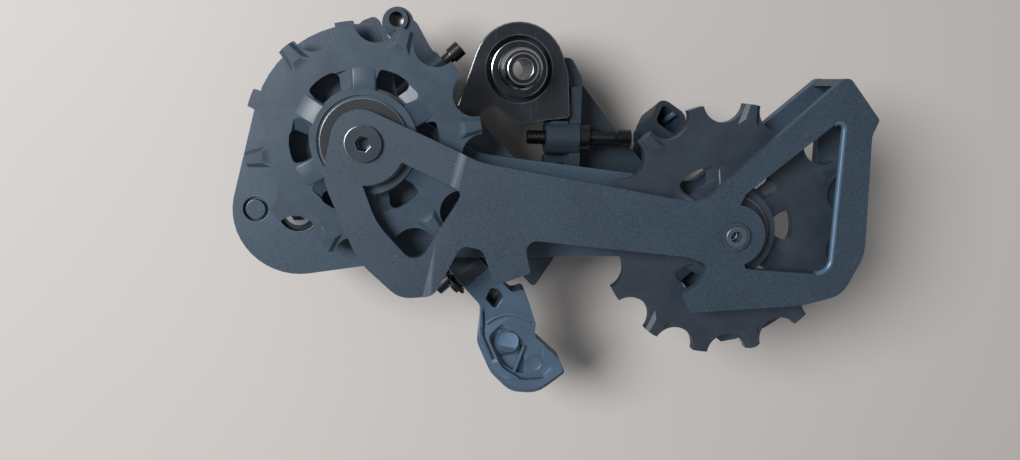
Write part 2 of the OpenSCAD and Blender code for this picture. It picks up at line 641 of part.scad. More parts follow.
module cage_knuckle() color(CHARCOAL) difference() {
    cage_knuckle_body();
    disc(pivot_at, cavity_r, housing_low_z - 1, cavity_top_z);
    disc(pivot_at, axle_r + run_fit, cavity_top_z - 1, knuckle_top_z + 1);
    translate([pivot_at[0], pivot_at[1], knuckle_top_z - stop_groove_deep])
        rotate([0, 0, stop_pin_angle - cage_swing - stop_room])
            rotate_extrude(angle = cage_swing + 2 * stop_room)
                translate([stop_pin_ring - stop_pin_r - pass_gap, 0])
                    square([2 * (stop_pin_r + pass_gap), stop_groove_deep + 1]);
    for (i = [0:2])
        disc(cover_screw_at(i), cover_screw_r + run_fit, housing_low_z - 1,
             housing_low_z + cover_screw_len + 1);
    in_pins() {
        for (z = [cage_in_z, cage_out_z])
            rod(barrel_low - 1, barrel_top + 1, cage_pin_y, z, pin_r);
        rod(high_head_x - high_screw_len - limit_in - pass_gap, 0, limit_y, limit_z, limit_r + run_fit);
        rod(low_head_x - low_screw_len - limit_in - pass_gap, 0, low_limit_y, low_limit_z,
            limit_r + run_fit);
        disc(eye_at, eye_bore_r, limit_z - arm_t - 2, limit_z + eye_rim_high + 1);
    }
}

module limit_screw(y, z, head_x, length) in_pins() difference() {
    union() {
        rod(head_x - length, head_x, y, z, limit_r);
        rod(head_x, head_x + limit_head_t, y, z, limit_head_r);
    }
    translate([head_x + limit_head_t - limit_key_deep, y, z]) rotate([0, 90, 0])
        cylinder(h = 2 * limit_key_deep, r = limit_key / sqrt(3), $fn = 6);
}
module high_limit_screw() color(BLACK) limit_screw(limit_y, limit_z, high_head_x, high_screw_len);
module low_limit_screw() color(BLACK) limit_screw(low_limit_y, low_limit_z, low_head_x, low_screw_len);

/* Links and pins */

// Side of a link: an eye at each end, joined by a narrower bar
bar_w = 7;
module link_side(y, z) {
    translate([y, z])
        rotate(-link_drop) {
            circle(ear_r);
            translate([link_len, 0]) circle(ear_r);
            translate([0, -bar_w / 2]) square([link_len, bar_w]);
        }
}
// Both sides of a link, above and below the knuckle barrels
module link_sides(y, z) {
    along_x(link_top - ear_w, link_top) link_side(y, z);
    along_x(link_low, link_low_top) link_side(y, z);
}
// Passage in the upper link side for the hanger plate's stop tab
tab_pass_from = 26;
tab_pass_to = 41.6;
tab_pass_deep = 3.1;
module tab_pass(y, z) along_x(link_top - tab_pass_deep, link_top + 1)
    link_web(y, z, tab_pass_from, tab_pass_to, -bar_w, bar_w);
// Plate across a link, from a to b along it and from low to high over its centre line
module link_web(y, z, a, b, low, high) {
    translate([y, z]) rotate(-link_drop) translate([a, low]) square([b - a, high - low]);
}
module pin_bores(y, z) for (end = [0, 1])
    rod(link_low - 1, link_top + 1, y + end * link_len * cos(link_drop),
        z - end * link_len * sin(link_drop), pin_r + run_fit);

web_in = 3;
web_from = ear_r + web_in;
web_to = link_len - web_from;
outer_web_t = 2.2;
rib_t = 1.6;
rib_at = [barrel_low + 4, barrel_top - 6];
rib_top = -0.4;
// Web of the inner link, short so that the spring shows beside it
inner_web_from = 17;
inner_web_low = 1;
module inner_link() color(SLATE) in_pins() difference() {
    union() {
        link_sides(mount_pin_y, mount_in_z);
        along_x(link_low, link_top) link_web(mount_pin_y, mount_in_z, inner_web_from,
                                               link_len - inner_web_from, inner_web_low, bar_w / 2);
    }
    pin_bores(mount_pin_y, mount_in_z);
    tab_pass(mount_pin_y, mount_in_z);
}
module outer_link() color(CHARCOAL) in_pins() difference() {
    union() {
        link_sides(mount_pin_y, mount_out_z);
        along_x(link_low, link_top)
            link_web(mount_pin_y, mount_out_z, web_from, web_to, -bar_w / 2, outer_web_t - bar_w / 2);
        for (x = rib_at)
            along_x(x, x + rib_t)
                link_web(mount_pin_y, mount_out_z, web_from, web_to, -bar_w / 2, rib_top);
    }
    pin_bores(mount_pin_y, mount_out_z);
    tab_pass(mount_pin_y, mount_out_z);
}

// Pins, and the open clips in the grooves of the mount pins
clip_out = 1.8;
clip_x = link_low - clip_out;
clip_t = 0.8;
clip_over = 1.2;
clip_mouth = 2.4;
groove_r = pin_r - 0.4;
inner_pin_out = 2.8;
outer_pin_out = 8;
module mount_pin(z, low) color(STEEL) in_pins() difference() {
    rod(low, link_top, mount_pin_y, z, pin_r);
    difference() {
        rod(clip_x, clip_x + clip_t, mount_pin_y, z, pin_r + 1);
        rod(clip_x - 1, clip_x + clip_t + 1, mount_pin_y, z, groove_r);
    }
}
module mount_pin_inner() mount_pin(mount_in_z, link_low - inner_pin_out);
module mount_pin_outer() mount_pin(mount_out_z, link_low - outer_pin_out);
module pin_clips() color(STEEL) in_pins() for (z = [mount_in_z, mount_out_z])
    difference() {
        rod(clip_x, clip_x + clip_t, mount_pin_y, z, pin_r + clip_over);
        rod(clip_x - 1, clip_x + clip_t + 1, mount_pin_y, z, groove_r);
        translate([clip_x - 1, mount_pin_y - 2 * pin_r, z - clip_mouth / 2])
            cube([clip_t + 2, 2 * pin_r, clip_mouth]);
    }
module cage_pin(z) color(STEEL) in_pins() rod(link_low, link_top, cage_pin_y, z, pin_r);
module cage_pin_inner() cage_pin(cage_in_z);
module cage_pin_outer() cage_pin(cage_out_z);

// Return spring, stretched across the parallelogram between the two barrels
spring_wire_r = 0.6;
spring_coil_r = 3;
spring_turns = 14;
spring_x = (barrel_low + barrel_top) / 2;
spring_gap = 0.7;
spring_rise = 1.3;
spring_from = [spring_x, mount_pin_y + barrel_r + spring_gap, mount_out_z + spring_rise];
spring_to = [spring_x, cage_pin_y - barrel_r - spring_gap, cage_in_z];
spring_tail = 2 * spring_wire_r;
spring_way = unit(spring_to - spring_from);
spring_side = unit(cross(spring_way, [0, 0, 1]));
spring_up = cross(spring_side, spring_way);
spring_pitch = (norm(spring_to - spring_from) - 2 * spring_tail) / spring_turns;
function spring_point(i) = spring_from + spring_way * (spring_tail + spring_pitch * i / 8)
    + spring_coil_r * (spring_side * sin(i * 45) + spring_up * cos(i * 45));
spring_path = concat(
    [spring_from + spring_coil_r * spring_up],
    [for (i = [0:spring_turns * 8]) spring_point(i)],
    [spring_to + spring_coil_r * spring_up]);
module return_spring() color(STEEL) in_pins() tube(spring_path, spring_wire_r);
echo(return_spring_gap = least_gap(spring_path, spring_wire_r));
echo(cage_spring_gap = least_gap(cage_path, cage_wire_r));

/* Cable fin on the inner link */

fin_top_z = mount_in_z + 3.9;
fin_low_z = mount_in_z - 2.4;
fin_flange_t = 1.7;
fin_groove_w = 1.8;
fin_reach = 20;
module in_fin() in_pins() translate([link_low_top, mount_pin_y, 0]) children();
// Edges of the fin about the link's lower eye: arm, outboard flange, groove floor and inboard flange
fin_arm = [[-2.6, -32.6, 3], [-3.4, -23.4, 2], [-0.9, -21.2, 2], [2, -14.6, 2], [3, -11.8, 1],
           [0, -10.6, 2], [0, 0, 0], [-low_ear_w, 0, 0]];
fin_low_rim = [[-low_ear_w, -8.4, 3], [-16, -15.6, 4], [-19, -24.4, 8], [-18.6, -32, 6], [-13.6, -37.4, 7],
               [-4.4, -38, 1]];
fin_floor_rim = [[-low_ear_w, -9, 3], [-13.4, -15, 4], [-15.6, -23.4, 8], [-15.2, -29.4, 6],
                 [-11.4, -33.4, 7], [-4.6, -34.4, 1]];
fin_top_rim = [[-low_ear_w, -7.6, 3], [-14.4, -14.4, 4], [-16.9, -23, 8], [-16.5, -29.8, 6],
               [-12.2, -34.8, 7], [-4, -35.7, 1]];
fin_step_at = [-10, -21];
fin_step_r = 9;
fin_step = 0.7;
fin_pocket = [[-7, -15, 1.6], [-12.3, -15.4, 2], [-15.2, -24, 5], [-13.6, -30, 4], [-9, -33.8, 2],
              [-5.2, -33.4, 1], [-6, -24, 3]];
fin_pocket_deep = 2;
fin_well = [[-7.6, -16, 1.6], [-12, -16, 2], [-14.6, -24, 4], [-13.4, -28.4, 2], [-11.6, -30, 0.6],
            [-7.4, -23.4, 0.6]];
fin_well_deep = 3.4;
fin_hole = [[-3, -5.8, 0.8], [-1.8, -7.6, 1], [-2.2, -9.9, 1], [-6, -11, 0.8], [-6, -7.2, 0.8]];
fin_seat = 0.02;
// Leaning boss of the cable anchor, with its bolt and washer on the outboard side
anchor_at = [-9, -19.8];
anchor_lean = 35;
anchor_turn = 24;
anchor_bolt_r = 1.7;
anchor_boss_r = 3.2;
anchor_pad_deep = 1.4;
anchor_len = 9.2;
anchor_washer_t = 1.2;
anchor_washer_r = 4.4;
anchor_head_r = 3.4;
anchor_head_t = 2.2;
anchor_key = 2.5;
anchor_key_deep = 1.4;
module at_anchor() translate([anchor_at[0], anchor_at[1], fin_top_z - anchor_pad_deep])
    rotate([0, 0, anchor_turn]) rotate([0, anchor_lean, 0]) children();
module cable_fin() color(FIN_GREY) in_fin() difference() {
    union() {
        difference() {
            union() {
                slab(concat(fin_low_rim, fin_arm), fin_low_z, fin_low_z + fin_flange_t);
                slab(concat(fin_floor_rim, fin_arm), fin_low_z, fin_top_z);
                slab(concat(fin_top_rim, fin_arm), fin_low_z + fin_flange_t + fin_groove_w, fin_top_z);
            }
            disc(fin_step_at, fin_step_r, fin_top_z - fin_step, fin_top_z + 1);
            slab(fin_pocket, fin_top_z - fin_pocket_deep, fin_top_z + 1);
            slab(fin_well, fin_top_z - fin_well_deep, fin_top_z + 1);
        }
        at_anchor() disc([0, 0], anchor_boss_r, -anchor_len, 0);
    }
    slab(fin_hole, fin_low_z - 1, fin_top_z + 1);
    at_anchor() disc([0, 0], anchor_bolt_r + run_fit, -anchor_len - 1, -1);
    rod(-low_ear_w - fin_reach, 1, 0, mount_in_z, ear_r + fin_seat);
}
module anchor_bolt() color(STEEL) in_fin() at_anchor() translate([0, 0, -anchor_len - anchor_washer_t])
    difference() {
        union() {
            disc([0, 0], anchor_bolt_r, 0, anchor_len);
            disc([0, 0], anchor_head_r, -anchor_head_t, 0);
        }
        hex([0, 0], anchor_key, -anchor_head_t - 1, anchor_key_deep - anchor_head_t);
    }
module anchor_washer() color(STEEL) in_fin() at_anchor()
    ring([0, 0], anchor_bolt_r, anchor_washer_r, -anchor_len - anchor_washer_t, -anchor_len);

/* Mount knuckle */

plate_low_z = -4.4;
plate_top_z = -0.4;
eye_low_z = plate_top_z - eye_t;
washer_t = 1.2;
washer_r = 6.9;
plate_bore_r = 8;

// Hanger bolt: head outboard, shank in the knuckle's eye, thread past the seat
head_r = 8;
head_t = 4;
bolt_hole_r = 2.3;
hanger_key = 5;
thread_relief = 0.5;
thread_lead = 1;
module hanger_bolt() color(STEEL) difference() {
    union() {
        disc([0, 0], head_r, eye_low_z - head_t, eye_low_z - run_fit);
        disc([0, 0], shank_r, eye_low_z - 1, -washer_t);
        translate([0, 0, -washer_t])
            rotate_extrude()
                polygon([[0, 0], [thread_r - thread_relief, 0], [thread_r - thread_relief, washer_t],
                         [thread_r, washer_t], [thread_r, thread_len + washer_t - thread_lead],
                         [thread_r - thread_lead, thread_len + washer_t], [0, thread_len + washer_t]]);
    }
    disc([0, 0], bolt_hole_r, eye_low_z - head_t - 1, thread_len + 1);
    hex([0, 0], hanger_key, eye_low_z - head_t - 1, eye_low_z + 1);
}
module hanger_washer() color(STEEL) ring([0, 0], thread_r + run_fit, washer_r, -washer_t, 0);

// Plate that turns about the bolt with the knuckle
hanger_plate_edge = concat(arc([0, 0], plate_edge_r, plate_edge_from, plate_edge_to, 14), plate_tab);
module hanger_plate() color(BLACK) difference() {
    slab(hanger_plate_edge, plate_low_z, plate_top_z);
    disc([0, 0], plate_bore_r, plate_low_z - 1, plate_top_z + 1);
}

// Body-angle screw: boss, lock collar, and the screw that runs through both
b_screw_y = -16.6;
b_screw_z = -4;
boss_from = 7.1;
boss_to = 15.4;
boss_r = 4.3;
collar_to = 18;
collar_r = 3.45;
b_tip_out = 4.5;
b_thread_out = 8.2;
b_head_t = 2.9;
b_head_over = 0.2;
b_key = 2.5;
b_key_deep = 1.7;
module b_screw() color(BLACK) difference() {
    union() {
        rod(boss_from - b_tip_out, collar_to + b_thread_out, b_screw_y, b_screw_z, b_screw_r);
        rod(collar_to + b_thread_out, collar_to + b_thread_out + b_head_t, b_screw_y, b_screw_z,
            b_screw_r + b_head_over);
    }
    translate([collar_to + b_thread_out + b_head_t - b_key_deep, b_screw_y, b_screw_z]) rotate([0, 90, 0])
        cylinder(h = 2 * b_key_deep, r = b_key / sqrt(3), $fn = 6);
}
module b_screw_collar() color(BLACK) difference() {
    rod(boss_to, collar_to, b_screw_y, b_screw_z, collar_r);
    rod(boss_to - 1, collar_to + 1, b_screw_y, b_screw_z, b_screw_r + run_fit);
}

// Back plate of the knuckle, outboard of the links, and the wall that carries it
wall_from = 12.6;
wall_to = 16.4;
wall_in = 0.5;
body_low_z = -21;
body_top_z = -9.6;
upper_wall_z = -2;
body_edge = [[4, 8.6, 3], [13.4, 1.6, 1.5], [27.6, -16.2, 12], [36, -25, 6], [42, -33.5, 6], [33, -46, 3],
             [6, -46, 2], [8.6, -40, 1], [13.1, -35.6, 1], [wall_from, -28, 2], [wall_from, -12, 3],
             [2, -9, 3], [-5, 2, 3]];
wall_edge = [[8, 3.4, 2], [13.6, 3, 1.5], [wall_to, -2, 3], [wall_to, -36, 1], [wall_from, -36, 1],
             [wall_from, -8, 2], [8, -6, 0]];
upper_wall_edge = [[wall_from + wall_in, -4, 0], [wall_to - wall_in, -4, 0], [wall_to - wall_in, -29, 1],
                   [wall_from + wall_in, -29, 1]];
boss_web_edge = [[boss_from + 1, -12.4, 0.6], [wall_from, -12.4, 0], [wall_from, -17, 0],
                 [boss_from + 1, -17, 0]];
boss_web_low = 3.4;
hook_edge = [[7.4, -21.4, 0.6], [wall_from + 1, -21.4, 0], [wall_from + 1, -23.2, 0], [9.2, -23.2, 0.6],
             [9.2, -27, 0.6], [7.4, -27, 0.6]];
hook_top_z = -6;
foot_edge = [[7.4, -26, 0], [wall_from + 1, -26, 0], [wall_from + 1, -30, 0], [7.4, -30, 2]];
foot_t = 4;
barrel_wall = [[0, 0, 0], [-13, 0, 0], [-13, -13.2, 1], [-5.5, -11.2, 1], [0, -9.4, 2]];

// Mouth of the cable housing stop, leaning inboard and rearward
stop_at = [38.2, -14.6, -12];
stop_lean = 33;
stop_turn = 57;
stop_half = 4.7;
stop_round = 3;
stop_low = -1.8;
stop_high = 6;
stop_floor = -0.5;
cable_hole_r = 0.9;
cable_hole_len = 14;
stop_web = [[34.4, -26, 0], [34.4, -15.4, 1], [42.6, -15.4, 1], [42.6, -30, 0]];
stop_web_in = 2;
module at_stop() translate(stop_at) rotate([0, 0, stop_turn]) rotate([0, stop_lean, 0]) children();

module mount_knuckle_body() {
    disc([0, 0], eye_r, eye_low_z, plate_low_z);
    slab(body_edge, body_low_z, body_top_z);
    slab(wall_edge, body_top_z - 2, plate_low_z);
    slab(boss_web_edge, b_screw_z - boss_web_low, plate_top_z - 1);
    slab(upper_wall_edge, plate_low_z, upper_wall_z);
    slab(hook_edge, body_top_z - 1, hook_top_z);
    slab(foot_edge, body_top_z - foot_t, body_top_z);
    rod(boss_from, boss_to, b_screw_y, b_screw_z, boss_r);
    in_pins() {
        along_x(barrel_low, barrel_top) pin_stadium(mount_pin_y, mount_in_z, mount_out_z, barrel_r);
        slab(moved(barrel_wall, [barrel_top, mount_pin_y]), mount_out_z - ear_r, mount_in_z + ear_r - 0.4);
    }
    at_stop()
        slab([for (a = [45:90:315]) at_polar(stop_half * sqrt(2), a, stop_round)], stop_low, stop_high);
    slab(stop_web, body_low_z, body_top_z - stop_web_in);
}

module mount_knuckle() color(CHARCOAL) difference() {
    mount_knuckle_body();
    disc([0, 0], shank_r + run_fit, body_low_z - 1, plate_low_z + 1);
    disc([0, 0], head_r + pass_gap, body_low_z - 1, eye_low_z);
    rod(boss_from - 1, collar_to, b_screw_y, b_screw_z, b_screw_r + run_fit);
    rod(boss_to, collar_to + 1, b_screw_y, b_screw_z, collar_r + run_fit);
    in_pins()
        for (z = [mount_in_z, mount_out_z])
            rod(barrel_low - 1, barrel_top + 1, mount_pin_y, z, pin_r);
    at_stop() {
        disc([0, 0], stop_bore_r, stop_floor, stop_high + 1);
        disc([0, 0], cable_hole_r, stop_low - cable_hole_len, stop_floor + 1);
    }
}

hanger_bolt();
hanger_washer();
hanger_plate();
mount_knuckle();
b_screw();
b_screw_collar();
mount_pin_inner();
mount_pin_outer();
pin_clips();
inner_link();
cable_fin();
anchor_bolt();
anchor_washer();
outer_link();
return_spring();
cage_knuckle();
cage_pin_inner();
cage_pin_outer();
high_limit_screw();
low_limit_screw();
clutch_cover();
cover_screws();
clutch_band();
clutch_rollers();
cage_spring();
clutch_hub();
cage_axle();
axle_clip();
pivot_seal();
stop_pin();
outer_cage_plate();
inner_cage_plate();
guide_bolt();
guide_sleeve();
guide_bearing();
guide_pulley();
guide_dust_caps();
tension_bolt();
tension_sleeve();
tension_bearing();
tension_pulley();
tension_dust_caps();
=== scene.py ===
"""Looks of the rear derailleur: camera, light, finishes and the small forms on its solids."""
import json
import math

import bpy
from mathutils import Matrix, Vector

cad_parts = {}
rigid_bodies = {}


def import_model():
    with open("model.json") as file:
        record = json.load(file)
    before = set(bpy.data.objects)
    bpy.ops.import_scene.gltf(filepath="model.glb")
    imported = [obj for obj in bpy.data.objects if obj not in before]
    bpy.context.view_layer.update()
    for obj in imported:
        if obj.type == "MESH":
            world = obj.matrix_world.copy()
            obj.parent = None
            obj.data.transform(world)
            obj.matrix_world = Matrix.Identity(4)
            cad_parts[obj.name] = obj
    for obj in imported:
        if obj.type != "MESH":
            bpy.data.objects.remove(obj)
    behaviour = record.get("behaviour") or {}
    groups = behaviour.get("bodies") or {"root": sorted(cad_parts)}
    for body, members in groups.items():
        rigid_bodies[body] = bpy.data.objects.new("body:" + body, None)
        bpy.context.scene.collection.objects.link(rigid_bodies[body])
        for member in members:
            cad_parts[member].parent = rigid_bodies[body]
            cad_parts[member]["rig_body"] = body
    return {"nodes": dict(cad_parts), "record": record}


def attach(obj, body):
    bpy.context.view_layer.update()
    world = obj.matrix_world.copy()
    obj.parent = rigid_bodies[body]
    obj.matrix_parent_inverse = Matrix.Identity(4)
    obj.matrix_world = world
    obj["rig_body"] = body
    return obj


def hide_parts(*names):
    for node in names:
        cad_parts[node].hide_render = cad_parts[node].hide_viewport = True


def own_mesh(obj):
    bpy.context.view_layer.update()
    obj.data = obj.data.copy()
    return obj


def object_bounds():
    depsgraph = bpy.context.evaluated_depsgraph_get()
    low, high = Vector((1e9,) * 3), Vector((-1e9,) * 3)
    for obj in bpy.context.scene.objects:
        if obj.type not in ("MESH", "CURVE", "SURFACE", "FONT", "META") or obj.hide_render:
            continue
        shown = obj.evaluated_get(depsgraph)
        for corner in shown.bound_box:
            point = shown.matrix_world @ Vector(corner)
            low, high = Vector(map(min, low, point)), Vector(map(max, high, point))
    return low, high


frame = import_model()
cad_low, cad_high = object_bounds()

MM = 0.001

# Centres of the two pulleys
GUIDE = Vector((-36.1, -16.9, 13.0)) * MM
TENSION = Vector((48.982, -37.326, 13.0)) * MM

# Points this near each other are one, a point this near a plane is on it, faces this near in angle are one
MERGE = 0.002 * MM
ON_PLANE = 0.02 * MM
FLAT = math.radians(0.8)

# Material slot of the broken edges, whose lighter finish is a painted edge highlight
HIGHLIGHT_SLOT = 1

scene = bpy.context.scene
scene.view_settings.view_transform = "Standard"


# Camera, lamp and room

IMAGE_WIDTH = 1020
FOCAL_PIXELS = 766
SENSOR = 36


def look_down():
    """Camera above the derailleur, which lies on its outer side."""
    lens = bpy.data.cameras.new("bench_camera")
    lens.sensor_width = SENSOR
    lens.lens = SENSOR * FOCAL_PIXELS / IMAGE_WIDTH
    lens.clip_start = 10 * MM
    camera = bpy.data.objects.new("bench_camera", lens)
    scene.collection.objects.link(camera)
    place = Vector((-19.9, -3.0, 189.0)) * MM
    right = Vector((0.9955, 0.0180, 0.0927))
    up = Vector((0.0000, 0.9816, -0.1909))
    back = Vector((-0.0945, 0.1900, 0.9772))
    turn = Matrix((right, up, back)).transposed().to_4x4()
    camera.matrix_world = Matrix.Translation(place) @ turn
    scene.camera = camera


def soft_lamp(name, place, target, size, power, tint):
    """Round lamp at a place, turned to a target."""
    lamp = bpy.data.lights.new(name, "AREA")
    lamp.shape = "DISK"
    lamp.size = size
    lamp.energy = power
    lamp.color = tint
    holder = bpy.data.objects.new(name, lamp)
    scene.collection.objects.link(holder)
    aim = Vector(target) - Vector(place)
    turn = aim.to_track_quat("-Z", "Y").to_matrix().to_4x4()
    holder.matrix_world = Matrix.Translation(place) @ turn


def room_light(strength, tint):
    """Even light from all round."""
    world = bpy.data.worlds.new("room")
    scene.world = world
    world.use_nodes = True
    sky = world.node_tree.nodes["Background"]
    sky.inputs["Color"].default_value = (*tint, 1)
    sky.inputs["Strength"].default_value = strength


# Materials: a wire wraps a socket, so that sums on wires add Math nodes

class Wire:
    def __init__(self, tree, socket=None):
        self.tree = tree
        self.socket = socket

    def node(self, kind, settings, values, out=0):
        """Node of this kind, its settings made first, then its sockets set or linked."""
        made = self.tree.nodes.new(kind)
        for key, value in settings.items():
            setattr(made, key, value)
        for key, value in values.items():
            if isinstance(value, Wire):
                self.tree.links.new(value.socket, made.inputs[key])
            else:
                made.inputs[key].default_value = value
        return Wire(self.tree, made.outputs[out])

    def sum(self, operation, first, second):
        return self.node("ShaderNodeMath", {"operation": operation}, {0: first, 1: second})

    def __add__(self, other):
        return self.sum("ADD", self, other)

    def __radd__(self, other):
        return self.sum("ADD", other, self)

    def __sub__(self, other):
        return self.sum("SUBTRACT", self, other)

    def __rsub__(self, other):
        return self.sum("SUBTRACT", other, self)

    def __mul__(self, other):
        return self.sum("MULTIPLY", self, other)

    def __rmul__(self, other):
        return self.sum("MULTIPLY", other, self)

    def __pow__(self, other):
        return self.sum("POWER", self, other)

    def __gt__(self, other):
        return self.sum("GREATER_THAN", self, other)

    def __lt__(self, other):
        return self.sum("LESS_THAN", self, other)

    def noise(self, scale, detail=2.0, rough=0.5):
        return self.node("ShaderNodeTexNoise", {},
                         {"Vector": self, "Scale": scale, "Detail": detail, "Roughness": rough})

    def cells(self, scale, out):
        return self.node("ShaderNodeTexVoronoi", {}, {"Vector": self, "Scale": scale}, out)

    def between(self, low, high):
        """0 below low, 1 above high, smooth between."""
        return self.node("ShaderNodeMapRange", {"interpolation_type": "SMOOTHSTEP"},
                         {"Value": self, "From Min": low, "From Max": high})

    def blend(self, first, second):
        """Colour that goes from first to second as this wire goes from 0 to 1."""
        factor, one, other, result = 0, 6, 7, 2
        pair = {one: first, other: second}
        shades = {k: v if isinstance(v, Wire) else (*v, 1) for k, v in pair.items()}
        return self.node("ShaderNodeMix", {"data_type": "RGBA"}, {factor: self, **shades}, result)

    def bump(self, depth, strength):
        return self.node("ShaderNodeBump", {},
                         {"Height": self, "Distance": depth, "Strength": strength})

    def from_axis(self):
        """Distance from the upright axis through the origin."""
        across = self.node("ShaderNodeSeparateXYZ", {}, {0: self}, "X")
        along = self.node("ShaderNodeSeparateXYZ", {}, {0: self}, "Y")
        return (across * across + along * along) ** 0.5


# Range over which a cloud of noise goes from its dark shade to its light one
CLOUDED = (0.3, 0.7)


def finish(name, recipe):
    """Material whose shader sockets come from recipe, given the object coordinates."""
    made = bpy.data.materials.new(name)
    made.use_nodes = True
    tree = made.node_tree
    shader = tree.nodes["Principled BSDF"]
    place = Wire(tree).node("ShaderNodeTexCoord", {}, {}, "Object")
    for key, value in recipe(place).items():
        if isinstance(value, Wire):
            tree.links.new(value.socket, shader.inputs[key])
        else:
            shader.inputs[key].default_value = value
    return made


def shade(colour, factor):
    """Colour made darker or lighter by a factor."""
    return tuple(c * factor for c in colour)


def powder_coat(name, colour, specks, rough):
    """Baked powder coat: fine grain, a few pale specks, cloudy gloss."""
    speck_cells, speck_reach = 900, 0.15

    def recipe(place):
        cloud = place.noise(70, 3)
        grain = place.noise(4200, 2)
        cell = place.cells(speck_cells, "Color")
        heart = place.cells(speck_cells, "Distance")
        mottle = place.noise(1300, 3)
        fleck = (cell > 1 - specks) * (heart < speck_reach)
        patch = cloud.between(*CLOUDED).blend(shade(colour, 0.86), shade(colour, 1.1))
        body = (mottle.between(0.35, 0.65) * 0.5).blend(patch, shade(colour, 1.24))
        pitted = (1 - grain.between(0.28, 0.5)).blend(body, shade(colour, 0.66))
        grained = grain.between(0.5, 0.74).blend(pitted, shade(colour, 1.5))
        speckled = (fleck * 0.6).blend(grained, shade(colour, 3.6))
        return {"Base Color": speckled,
                "Roughness": rough + 0.12 * (cloud - 0.5) + 0.1 * (grain - 0.5),
                "Normal": grain.bump(0.05 * MM, 0.5)}
    return finish(name, recipe)


def moulded(name, colour, rough):
    """Filled nylon: faint flow clouds and a fine spark-eroded skin."""
    def recipe(place):
        flow = place.noise(180, 4, 0.6)
        skin = place.noise(3400, 2)
        body = flow.between(0.3, 0.72).blend(shade(colour, 0.86), shade(colour, 1.12))
        dusted = (skin.between(0.55, 0.8) * 0.35).blend(body, shade(colour, 1.7))
        return {"Base Color": dusted,
                "Roughness": rough + 0.14 * (flow - 0.5) + 0.08 * (skin - 0.5),
                "Normal": skin.bump(0.03 * MM, 0.3)}
    return finish(name, recipe)


def satin_metal(name, colour, rough, grain_scale=2600):
    """Blasted and dyed metal: even grain with soft clouds of sheen."""
    def recipe(place):
        cloud = place.noise(90, 3)
        grain = place.noise(grain_scale, 2)
        body = cloud.between(*CLOUDED).blend(shade(colour, 0.9), shade(colour, 1.1))
        dyed = (grain.between(0.45, 0.8) * 0.5).blend(body, shade(colour, 1.35))
        return {"Base Color": dyed, "Metallic": 0.35,
                "Roughness": rough + 0.1 * (cloud - 0.5) + 0.08 * (grain - 0.5),
                "Normal": grain.bump(0.02 * MM, 0.3)}
    return finish(name, recipe)


def gloss_black(name, colour, rough):
    """Polished black dye with a thin clear layer, lighter smears that are also a painted reflection, and
    hairline rubs.
    """
    hairline = (1, 0.08, 1)

    def recipe(place):
        cloud = place.noise(110, 3)
        drawn = place.node("ShaderNodeMapping", {}, {"Vector": place, "Scale": hairline})
        rub = drawn.noise(1500, 2)
        worn = rub.between(0.62, 0.78) * 0.5
        body = cloud.between(*CLOUDED).blend(shade(colour, 0.8), shade(colour, 1.2))
        # Lighter patches: smudges, and also a painted reflection on the gloss.
        smear_and_reflection = place.noise(210, 4, 0.6)
        smeared_and_reflecting = (smear_and_reflection.between(0.5, 0.72) * 0.6).blend(body, shade(colour, 2.1))
        return {"Base Color": worn.blend(smeared_and_reflecting, shade(colour, 2.6)),
                "Roughness": rough + 0.2 * (smear_and_reflection - 0.5) + 0.12 * worn,
                "Coat Weight": 0.3, "Coat Roughness": 0.12}
    return finish(name, recipe)


def turned_steel(name, colour, rough):
    """Bare or plated steel with the fine rings that a lathe leaves."""
    def recipe(place):
        radius = place.from_axis()
        ring = place.node("ShaderNodeTexNoise", {"noise_dimensions": "1D"},
                          {"W": radius, "Scale": 2600, "Detail": 2.0})
        cloud = place.noise(160, 3)
        body = cloud.between(*CLOUDED).blend(shade(colour, 0.85), shade(colour, 1.08))
        return {"Base Color": (ring.between(0.45, 0.75) * 0.4).blend(body, shade(colour, 0.7)),
                "Metallic": 1.0, "Roughness": rough + 0.14 * (ring - 0.5) + 0.1 * (cloud - 0.5),
                "Normal": ring.bump(0.01 * MM, 0.25)}
    return finish(name, recipe)


def rubber(name, colour):
    """Moulded seal rubber with a dusty bloom."""
    def recipe(place):
        bloom = place.noise(240, 4)
        skin = place.noise(3000, 2)
        return {"Base Color": bloom.between(0.4, 0.75).blend(colour, shade(colour, 1.9)),
                "Roughness": 0.62 + 0.2 * (bloom - 0.5), "Normal": skin.bump(0.03 * MM, 0.3)}
    return finish(name, recipe)


def bench_paint(place):
    """Recipe of the floor: pale matt paint that drifts a little in shade."""
    drift = place.noise(3, 2)
    return {"Base Color": drift.between(*CLOUDED).blend((0.475, 0.440, 0.418), (0.52, 0.485, 0.46)),
            "Roughness": 0.7}


# Modelling helpers

def enter_edit():
    bpy.ops.object.mode_set(mode="EDIT")


def leave_edit():
    bpy.ops.object.mode_set(mode="OBJECT")


def smooth(degrees=28):
    """Faces that meet at less than this angle are shaded as one."""
    bpy.ops.object.shade_smooth_by_angle(angle=math.radians(degrees))


def settle():
    """Place, turn and size of the active piece go into its mesh."""
    bpy.ops.object.transform_apply(location=True, rotation=True, scale=True)


def soften(offset, segments):
    """In edit mode, the selected edges are rounded."""
    bpy.ops.mesh.bevel(offset=offset, segments=segments, affect="EDGES", clamp_overlap=True)


def alone(piece):
    """The piece alone selected and active."""
    bpy.ops.object.select_all(action="DESELECT")
    piece.select_set(True)
    bpy.context.view_layer.objects.active = piece


def fresh(add, **settings):
    """New primitive from an add operator, alone selected."""
    bpy.ops.object.select_all(action="DESELECT")
    add(**settings)
    return bpy.context.object


def joined(piece, others):
    """The others become part of the piece."""
    alone(piece)
    for other in others:
        other.select_set(True)
    bpy.ops.object.join()


def body_of(node):
    return frame["nodes"][node]["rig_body"]


def slot_of(node):
    return next(s["material_slot"] for s in frame["record"]["subparts"] if s["node"] == node)


def wear(piece, node, *coats):
    """The piece wears these materials; the node's slot is looked up and not used."""
    piece.data.materials.clear()
    for coat in coats:
        piece.data.materials.append(coat)
    slot_of(node)


